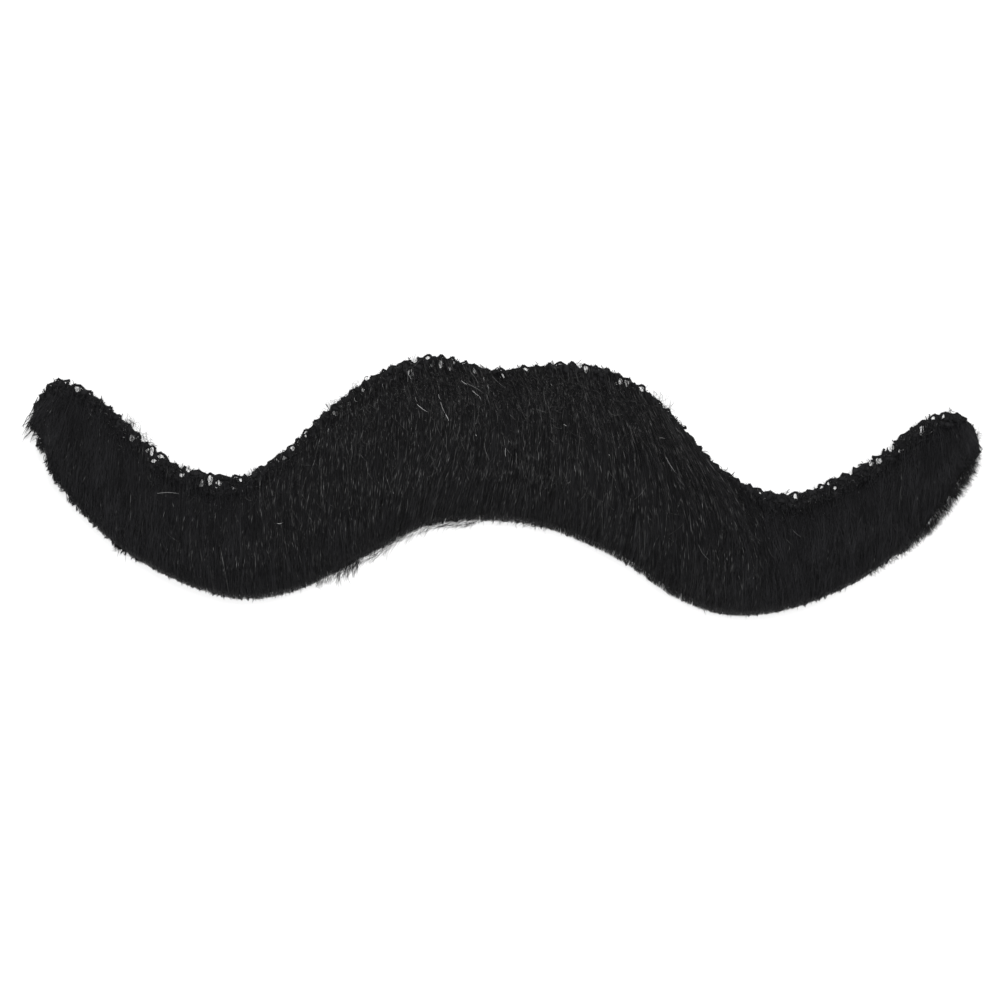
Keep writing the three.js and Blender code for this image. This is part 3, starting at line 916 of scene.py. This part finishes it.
def hem_hairs(name, count, seed):
    """Hairs that run over the pile's lower edge and end there."""
    rng = np.random.default_rng(seed)
    root_x = rng.uniform(-HALF_SPAN + 1.8, HALF_SPAN - 1.4, count)
    at_end = rng.uniform(0, 1, count) < 0.09
    root_x = np.where(at_end, np.sign(root_x) * rng.uniform(HALF_SPAN - 9, HALF_SPAN - 1.6, count), root_x)
    fall = fall_at(root_x)
    trimmed = rng.uniform(0, 1, count) < 0.96
    past = np.where(trimmed, rng.normal(0.06, 0.08, count), rng.exponential(0.2, count))
    end = 1 + past / fall
    highest = -np.maximum(bare_at(root_x) - 0.5, 0) / fall
    start = np.clip(end - rng.uniform(*HEM_LENGTHS, count) / fall, np.maximum(highest, -0.02), 0.75)
    layer = np.clip(rng.beta(3, 1.4, count) * 1.05, 0.15, 1.03)
    lines = hair_lines(root_x, start, end, layer, COMBED_KNOTS, rng, dense_end=1.8)
    radii = taper(count, COMBED_KNOTS, *HEM_RADII, rng)
    tone = shades(count, rng, 0.03, 0.8 * glinted_share_at(root_x))
    strand_piece(name, lines, radii, tone, HEM_HAIR, rng)


upper_hairs("hair_upper_1", UPPER_HAIRS, 21)
upper_hairs("hair_upper_2", UPPER_HAIRS, 22)
hem_hairs("hair_hem_1", HEM_HAIRS, 31)
hem_hairs("hair_hem_2", HEM_HAIRS, 32)


# Loose and curly hair


def curly(x, y, heading, length, curl, knots):
    """Curved hairs in the plane from their roots, (n, k) places along x and y."""
    t = np.linspace(0, 1, knots)[None]
    angle = heading[:, None] + curl[:, None] * t
    step = (length / (knots - 1))[:, None]
    across = np.cos(angle[:, 1:]) * step
    upward = np.sin(angle[:, 1:]) * step
    begin = np.zeros((len(x), 1))
    return (
        x[:, None] + np.concatenate([begin, np.cumsum(across, 1)], 1),
        y[:, None] + np.concatenate([begin, np.cumsum(upward, 1)], 1),
    )


def arch(count, knots, highest, rng):
    """How far curls rise along their length."""
    t = np.linspace(0, 1, knots)[None]
    return rng.uniform(0, highest, (count, 1)) * np.sin(t * math.pi * rng.uniform(0.5, 1, (count, 1)))


def root_mat():
    """The felted ground of the margin: a thin sheet between the yarn and the curls, open at the openings."""
    rng = np.random.default_rng(59)
    columns, rows, thickness = 660, 14, 0.5
    run = np.linspace(0, EDGE_LENGTH[-1], columns)
    bare = bare_at(np.interp(run, EDGE_LENGTH, EDGE_X))
    depth = 0.3 + (bare[:, None] + 1.5) * np.linspace(0, 1, rows) + rng.normal(0, 0.05, (columns, rows))
    depth[:, 0] += rng.uniform(-0.15, 0.1, columns)
    x, y = net_place(run[:, None] + rng.normal(0, 0.05, (columns, rows)), depth)
    z = NET_FACE - 0.05 + rng.uniform(-0.12, 0.12, x.shape)
    keep = np.ones((columns - 1, rows - 1), bool)
    corners = [np.s_[:-1, :-1], np.s_[1:, :-1], np.s_[1:, 1:], np.s_[:-1, 1:]]
    middle_x, middle_y = (sum(v[c] for c in corners) / 4 for v in (x, y))
    for *_, far in opening_distance(middle_x, middle_y):
        keep &= far > 0.8
    top = parted(np.stack([x, y, z], 2))[0].reshape(-1, 3)
    number = np.arange(columns * rows).reshape(columns, rows)
    a, b, c, d = (number[part][keep] for part in corners)
    upper = np.concatenate([np.stack([a, c, b], 1), np.stack([a, d, c], 1)])
    edges = np.concatenate([upper[:, [0, 1]], upper[:, [1, 2]], upper[:, [2, 0]]])
    code, back = edges[:, 0] * len(top) + edges[:, 1], edges[:, 1] * len(top) + edges[:, 0]
    u, v = edges[~np.isin(code, back)].T
    below = len(top)
    walls = np.concatenate([np.stack([v, u, u + below], 1), np.stack([v, u + below, v + below], 1)])
    faces = np.concatenate([upper, upper[:, ::-1] + below, walls])
    points = np.concatenate([top, top - np.array([0, 0, thickness])])
    used = np.unique(faces)
    points, faces = points[used], np.searchsorted(used, faces)
    piece = new_piece("root_mat", points, faces, YARN, "fur_pile")
    tone_piece(piece, rng.uniform(0, 1, len(points)), np.full(len(points), 0.5))


def root_knots():
    """Fat short loops of yarn that hold the hair roots in the margin, clear of the openings."""
    rng = np.random.default_rng(37)
    spacing, row_step, least_depth, room = 0.9, 0.82, 0.8, 0.45
    run, depth = [], []
    for place in np.arange(0, EDGE_LENGTH[-1], spacing):
        bare = float(bare_at(np.interp(place, EDGE_LENGTH, EDGE_X)))
        for below in np.arange(0.72, bare + 1.3, row_step):
            run.append(place + rng.normal(0, 0.22))
            depth.append(below + rng.normal(0, 0.16))
    run, depth = np.clip(run, 0, EDGE_LENGTH[-1]), np.maximum(depth, least_depth)
    x, y = net_place(run, depth)
    keep = np.ones(len(x), bool)
    for _, _, wide, tall, dx, dy, _ in opening_distance(x, y):
        keep &= np.hypot(dx * wide / (wide + room), dy * tall / (tall + room)) > 1
    x, y, run = x[keep], y[keep], run[keep]
    count = len(x)
    slope = np.arctan(np.interp(run, EDGE_LENGTH, np.gradient(EDGE_Y, EDGE_X)))
    heading = slope + np.clip(rng.normal(0, 0.8, count), -1, 1)
    length = rng.uniform(0.7, 1.2, count)
    t = np.linspace(-0.5, 0.5, 5)[None]
    lx = x[:, None] + np.cos(heading)[:, None] * length[:, None] * t
    ly = y[:, None] + np.sin(heading)[:, None] * length[:, None] * t
    bend = rng.normal(0, 0.25, (count, 1)) * (0.25 - t**2) * 4
    lz = NET_FACE - 0.1 + rng.uniform(-0.2, 0.5, (count, 1)) + bend * 0.5
    lx, ly = lx - np.sin(heading)[:, None] * bend, ly + np.cos(heading)[:, None] * bend
    radii = rng.uniform(0.34, 0.52, (count, 1)) * np.array([0.45, 0.88, 1.0, 0.88, 0.45])
    tone = rng.uniform(0, 1, count)
    strand_piece("root_knots", np.stack([lx, ly, lz], 2), radii, tone, YARN, rng, 6, False)


def root_tufts():
    """Clumps of short curls that cover the net's bare margin, but for its openings."""
    rng = np.random.default_rng(41)
    knots, each, spacing, row_step = 5, 6, 1.05, 0.9
    centre_run, centre_depth = [], []
    for run in np.arange(0, EDGE_LENGTH[-1], spacing):
        bare = float(bare_at(np.interp(run, EDGE_LENGTH, EDGE_X)))
        for depth in np.arange(0.8, bare + 1.7, row_step):
            centre_run.append(run + rng.normal(0, 0.3))
            centre_depth.append(depth + rng.normal(0, 0.22))
    count = len(centre_run) * each
    run = np.repeat(centre_run, each) + rng.normal(0, 0.3, count)
    depth = np.repeat(centre_depth, each) + rng.normal(0, 0.25, count)
    height = np.repeat(rng.uniform(0.0, 0.7, len(centre_run)), each)
    x, y = net_place(np.clip(run, 0, EDGE_LENGTH[-1]), depth)
    combed = rng.uniform(0, 1, count) < 0.4
    heading = np.where(combed, rng.normal(-math.pi / 2, 0.5, count), rng.uniform(-math.pi, math.pi, count))
    length = rng.uniform(0.8, 1.7, count) * np.where(combed, 1.4, 1)
    curl = rng.normal(0, 2.6, count) * np.where(combed, 0.4, 1)
    lx, ly = curly(x, y, heading, length, curl, knots)
    lx = lx - (lx.mean(1) - x)[:, None] * 0.8
    ly = ly - (ly.mean(1) - y)[:, None] * 0.8
    lz = NET_FACE - 0.25 + height[:, None] + arch(count, knots, 0.6, rng)
    lines, whole = parted(np.stack([lx, ly, lz], 2))
    lines = lines[whole]
    radii = taper(len(lines), knots, 0.045, 0.08, rng)
    tone = shades(len(lines), rng, 0.16, np.maximum(glinted_share_at(lines[:, 0, 0]), 0.5))
    strand_piece("root_tufts", lines, radii, tone, ROOT_HAIR, rng)


# How far the curls lean to the right from straight down: places along the part, and radians
FRIZZ_LEAN = ([-22, -12, 4, 12, 20, 36, 44], [0, 0.5, 0.5, 0.2, 0.35, 0.45, 0])


def root_frizz():
    """Curls over the upper part of the pile, where it is not combed flat."""
    rng = np.random.default_rng(43)
    count, knots, reach = 2300, 6, 76
    centre = rng.uniform(0, 1, count) < 0.6
    root_x = np.where(centre, rng.normal(0, 17, count), rng.uniform(-reach, reach, count))
    root_x = np.clip(root_x, -reach, reach)
    down = rng.beta(1.1, 3.2, count) * 0.5 * np.where(centre, 1.0, 0.7)
    x, y = comb(root_x, down)
    heading = rng.normal(np.interp(root_x, *FRIZZ_LEAN) - math.pi / 2, 0.5, count)
    lx, ly = curly(x, y, heading, rng.uniform(0.8, 2.4, count), rng.normal(0, 1.0, count), knots)
    lz = surface_at(lx, ly) - 0.1 + arch(count, knots, 0.5, rng)
    lines, whole = parted(np.stack([lx, ly, lz], 2))
    lines = lines[whole]
    radii = taper(len(lines), knots, 0.035, 0.055, rng)
    tone = shades(len(lines), rng, 0.12, glinted_share_at(lines[:, 0, 0]))
    strand_piece("root_frizz", lines, radii, tone, ROOT_HAIR, rng)


def wisps():
    """Fine loose hairs along both edges."""
    rng = np.random.default_rng(47)
    knots = 5
    lines, radii = [], []
    for i, count in enumerate(WISPS["count"].astype(int)):
        row = {k: v[i] for k, v in WISPS.items()}
        x = rng.uniform(row["from_x"], row["to_x"], count)
        edge = top_at(x) if row["edge"] else foot_at(x)
        y = edge + rng.uniform(row["from_up"], row["to_up"], count)
        heading = np.radians(rng.normal(row["heading"], row["spread"], count))
        length = row["length"] * rng.uniform(0.5, 1.2, count)
        lx, ly = curly(x, y, heading, length, rng.normal(0, row["curl"], count), knots)
        lz = np.maximum(surface_at(lx, ly) * rng.uniform(0.3, 0.8, (count, 1)), 0.25)
        lz = lz + arch(count, knots, 0.3, rng)
        lines.append(np.stack([lx, ly, lz], 2))
        radii.append(taper(count, knots, 0.8, 1.2, rng) * row["radius"])
    lines, radii = np.concatenate(lines), np.concatenate(radii)
    strand_piece("wisps", lines, radii, shades(len(lines), rng, 0.0), HEM_HAIR, rng)


def edge_tufts():
    """Short tufts along the lower edge. The hairs of a tuft meet at its tip."""
    rng = np.random.default_rng(61)
    each, knots = 6, 4
    row = {k: np.repeat(v, TUFTS["count"].astype(int)) for k, v in TUFTS.items()}
    count = len(row["count"])
    x = rng.uniform(row["from_x"], row["to_x"])
    y = foot_at(x) + rng.uniform(row["from_up"], row["to_up"])
    slope = np.arctan((foot_at(x + 0.2) - foot_at(x - 0.2)) / 0.4)
    heading = np.radians(rng.normal(row["heading"], row["spread"]))
    length = row["length"] * rng.uniform(0.5, 1.3, count)
    x, y, slope, heading, length = (np.repeat(v, each) for v in (x, y, slope, heading, length))
    aside = rng.normal(0, 0.3, count * each)
    back = rng.uniform(0.3, 0.9, count * each)
    root_x = x + aside * np.cos(slope) - back * np.cos(heading)
    root_y = y + aside * np.sin(slope) - back * np.sin(heading)
    tip_x = x + length * np.cos(heading) + rng.normal(0, 0.06, count * each)
    tip_y = y + length * np.sin(heading) + rng.normal(0, 0.06, count * each)
    t = np.linspace(0, 1, knots)[None]
    bend = rng.normal(0, 0.08, (count * each, 1)) * np.sin(t * math.pi)
    lx = root_x[:, None] + (tip_x - root_x)[:, None] * t - np.sin(heading)[:, None] * bend
    ly = root_y[:, None] + (tip_y - root_y)[:, None] * t + np.cos(heading)[:, None] * bend
    lz = np.maximum(surface_at(lx, ly) * rng.uniform(0.4, 0.9, (count * each, 1)), 0.25)
    radii = taper(count * each, knots, 0.045, 0.075, rng)
    tone = shades(count * each, rng, 0.0, 0.3)
    strand_piece("edge_tufts", np.stack([lx, ly, lz], 2), radii, tone, HEM_HAIR, rng)


def opening_fibres():
    """Thin loose fibres across the larger openings in the margin."""
    rng = np.random.default_rng(67)
    each, knots, least_area = 5, 5, 0.14
    large = OPENINGS["wide"] * OPENINGS["tall"] > least_area
    along, depth, wide, tall = (np.repeat(column[large], each) for column in OPENINGS.values())
    count = len(along)
    reach = np.hypot(wide, tall)
    x = along + rng.normal(0, 0.45, count) * wide
    y = np.interp(along, EDGE_X, EDGE_Y) - depth + rng.normal(0, 0.45, count) * tall
    length = reach * rng.uniform(1.6, 2.6, count)
    lx, ly = curly(x, y, rng.uniform(-math.pi, math.pi, count), length, rng.normal(0, 1.2, count), knots)
    lx = lx - (lx.mean(1) - x)[:, None]
    ly = ly - (ly.mean(1) - y)[:, None]
    lz = NET_FACE - 0.3 + arch(count, knots, 0.5, rng)
    radii = taper(count, knots, 0.02, 0.045, rng)
    tone = shades(count, rng, 0.1, 0.6)
    strand_piece("opening_fibres", np.stack([lx, ly, lz], 2), radii, tone, ROOT_HAIR, rng)


def stray_hairs():
    """Light hairs that lie over the combed pile: those seen in the photograph, and faint ones on the hump."""
    rng = np.random.default_rng(53)
    knots, faint = 6, 420
    t = np.linspace(0, 1, knots)[None]
    from_x, from_y, to_x, to_y, bow, shade = (column[:, None] for column in STRAYS.values())
    length = np.hypot(to_x - from_x, to_y - from_y)
    aside = bow * np.sin(t * math.pi)
    lx = from_x + (to_x - from_x) * t + aside * (to_y - from_y) / length
    ly = from_y + (to_y - from_y) * t - aside * (to_x - from_x) / length
    lines = np.stack([lx, ly, surface_at(lx, ly) + 0.35], 2)
    radii = taper(len(lines), knots, 0.026, 0.034, rng)
    root_x = np.clip(rng.normal(-4, 22, faint), -74, 40)
    x, y = comb(root_x, rng.uniform(0, 0.7, faint))
    heading = np.radians(rng.normal(-80, 22, faint))
    lx, ly = curly(x, y, heading, rng.uniform(1.0, 4.0, faint), rng.normal(0, 0.5, faint), knots)
    lz = surface_at(lx, ly) + rng.uniform(0, 0.2, (faint, 1))
    lines = np.concatenate([lines, np.stack([lx, ly, lz], 2)])
    radii = np.concatenate([radii, taper(faint, knots, 0.024, 0.036, rng)])
    tone = np.concatenate([shade[:, 0], rng.uniform(0.8, 0.93, faint)])
    strand_piece("stray_hairs", lines, radii, tone, HAIR, rng)


root_mat()
root_knots()
root_tufts()
root_frizz()
wisps()
edge_tufts()
opening_fibres()
stray_hairs()


# Stage


def make_floor():
    mesh = bpy.data.meshes.new("table")
    half, level = 3.0, -0.00002
    corners = [(-half, -half, level), (half, -half, level), (half, half, level), (-half, half, level)]
    mesh.from_pydata(corners, [], [(0, 1, 2, 3)])
    mesh.materials.append(floor_material())
    floor = bpy.data.objects.new("table", mesh)
    bpy.context.scene.collection.objects.link(floor)


def softbox(name, place, size, power):
    """A square light that faces the part."""
    light = bpy.data.lights.new(name, "AREA")
    light.shape = "SQUARE"
    light.size = size
    light.energy = power
    lamp = bpy.data.objects.new(name, light)
    lamp.location = place
    lamp.rotation_euler = (Vector((0, 0, 0)) - Vector(place)).to_track_quat("-Z", "Y").to_euler()
    bpy.context.scene.collection.objects.link(lamp)


def make_camera():
    """Straight above, turned a little so that the moustache's right end hangs lower, as photographed."""
    image_width = 0.1677
    centre = Vector((0.00007, -0.00924, 0.0))
    roll = math.radians(2)
    camera = bpy.data.cameras.new("camera")
    camera.lens = 120
    camera.sensor_width = 36
    distance = camera.lens / camera.sensor_width * image_width
    camera.clip_end = 100
    eye = bpy.data.objects.new("camera", camera)
    eye.location = centre + Vector((0, 0, distance))
    eye.rotation_euler = Euler((0, 0, roll))
    bpy.context.scene.collection.objects.link(eye)
    bpy.context.scene.camera = eye


make_floor()
softbox("key", (0.1, 0.6, 0.9), 0.5, 4)
softbox("overhead", (0.0, 0.05, 1.3), 0.3, 14)
softbox("front", (0.0, -1.2, 0.7), 0.8, 2)
make_camera()

world = bpy.data.worlds.new("studio")
world.use_nodes = True
world.node_tree.nodes["Background"].inputs["Color"].default_value = (0.9, 0.9, 0.9, 1)
world.node_tree.nodes["Background"].inputs["Strength"].default_value = 0.25
bpy.context.scene.world = world
bpy.context.scene.view_settings.view_transform = "Standard"
